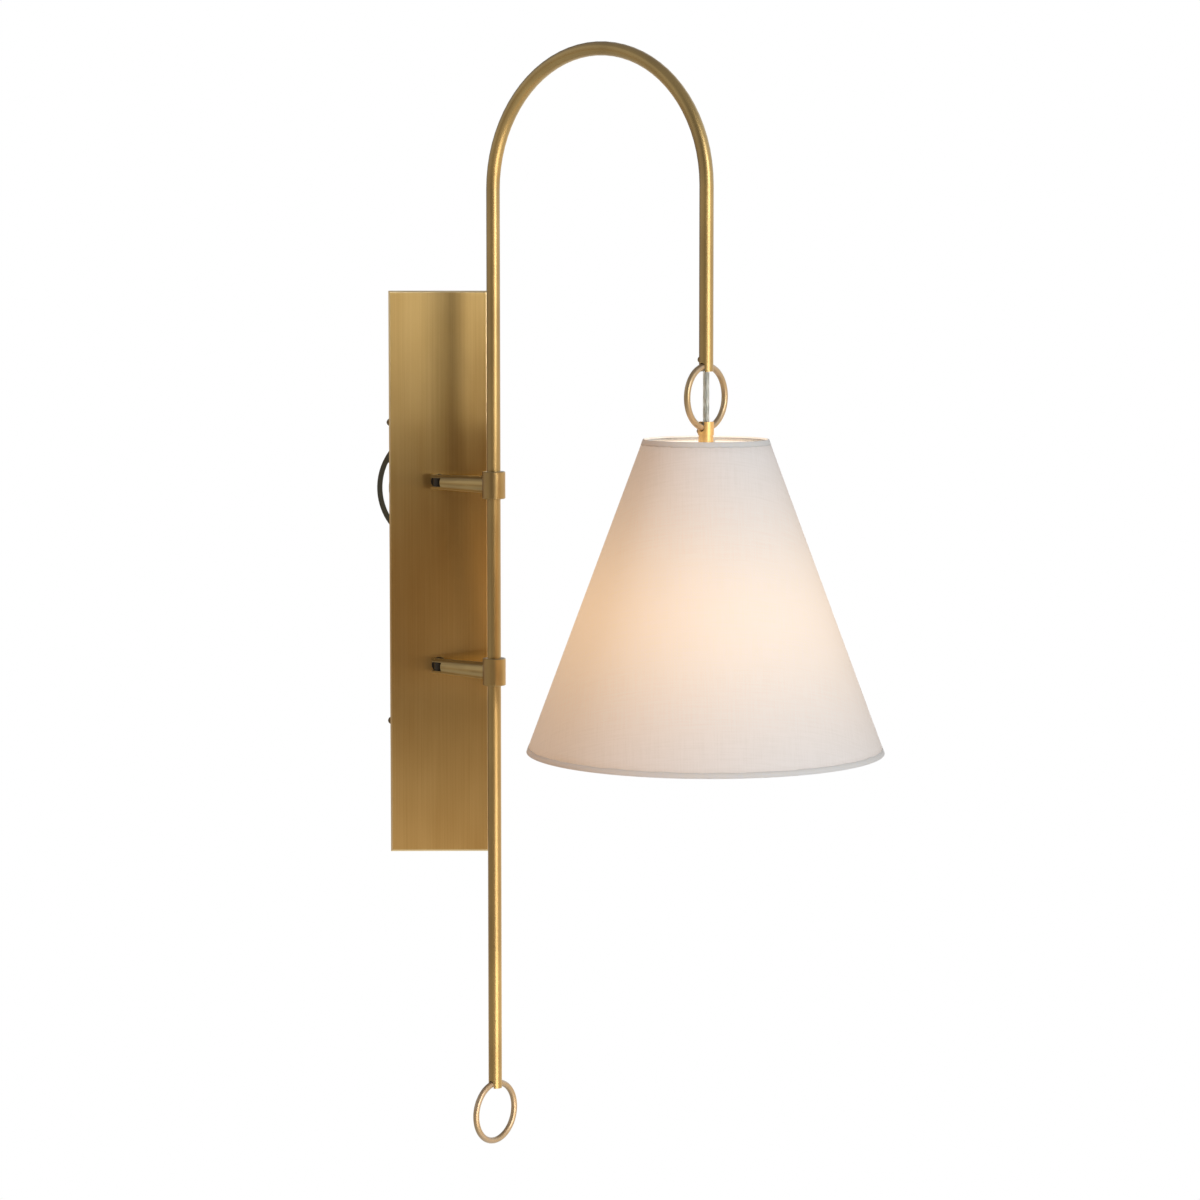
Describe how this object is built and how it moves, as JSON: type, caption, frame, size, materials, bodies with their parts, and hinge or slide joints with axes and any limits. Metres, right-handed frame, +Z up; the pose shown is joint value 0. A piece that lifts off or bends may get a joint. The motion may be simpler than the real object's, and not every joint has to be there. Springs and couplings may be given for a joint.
{
  "type": "swing arm wall lamp",
  "caption": "Wall lamp with a tall brass plate, forked arms that swing a long crook rod, rings at its ends and a linen cone shade hung over a bulb.",
  "frame": {"origin": "centre of the wall box on the wall, where the crossbar's screws go", "axes": "+X right for someone facing the wall, +Y into the wall, +Z up"},
  "size_m": [0.406, 0.3523, 0.903],
  "materials": {
    "antique_brass": "brushed satin, lacquered",
    "ring_brass": "polished satin",
    "dark_steel": "dark grey coat",
    "zinc_steel": "zinc plated",
    "ground_green": "green plated",
    "dark_screw": "blackened",
    "nylon": "black",
    "clear_cord": "clear jacket",
    "linen": "plain weave on stiff backing",
    "white_wire": "white coat",
    "socket_brass": "bright",
    "fibre_liner": "pressed fibre",
    "phenolic": "moulded",
    "frosted_glass": "frosted"
  },
  "bodies": {
    "wall_mount": {"backplate": "antique_brass", "crossbar": "dark_steel", "mounting_bracket": "zinc_steel", "crossbar_nipple": "zinc_steel", "crossbar_nut": "zinc_steel", "ground_screw": "ground_green", "side_screws": "dark_screw", "upper_knuckle": "antique_brass", "lower_knuckle": "antique_brass", "knuckle_washers": "zinc_steel", "knuckle_nuts": "zinc_steel", "fork_washers": "nylon"},
    "swing_arm": {"upper_arm": "antique_brass", "lower_arm": "antique_brass", "upper_collar": "antique_brass", "lower_collar": "antique_brass", "crook_tube": "antique_brass", "foot_plug": "antique_brass", "hook_plug": "antique_brass", "foot_ring": "ring_brass", "hanger_ring": "ring_brass", "hub": "ring_brass", "ring_screws": "ring_brass", "shade_nipple": "zinc_steel", "spider_nut": "zinc_steel", "collar_grubs": "zinc_steel", "pivot_pins": "zinc_steel", "lamp_cord": "clear_cord", "shade": "linen", "shade_top_trim": "linen", "shade_bottom_trim": "linen", "shade_top_wire": "white_wire", "shade_bottom_wire": "white_wire", "shade_spider": "white_wire", "socket_cap": "socket_brass", "socket_shell": "socket_brass", "socket_screw_shell": "socket_brass", "socket_contact": "socket_brass", "bulb_base": "socket_brass", "socket_liner": "fibre_liner", "socket_insulator": "phenolic", "bulb_glass": "frosted_glass"}
  },
  "joints": [
    {"name": "arm_swing", "type": "hinge", "parent": "wall_mount", "child": "swing_arm", "pos_m": [0, -0.033, 0], "axis": [0, 0, 1], "range_deg": [-115, 15]}
  ]
}
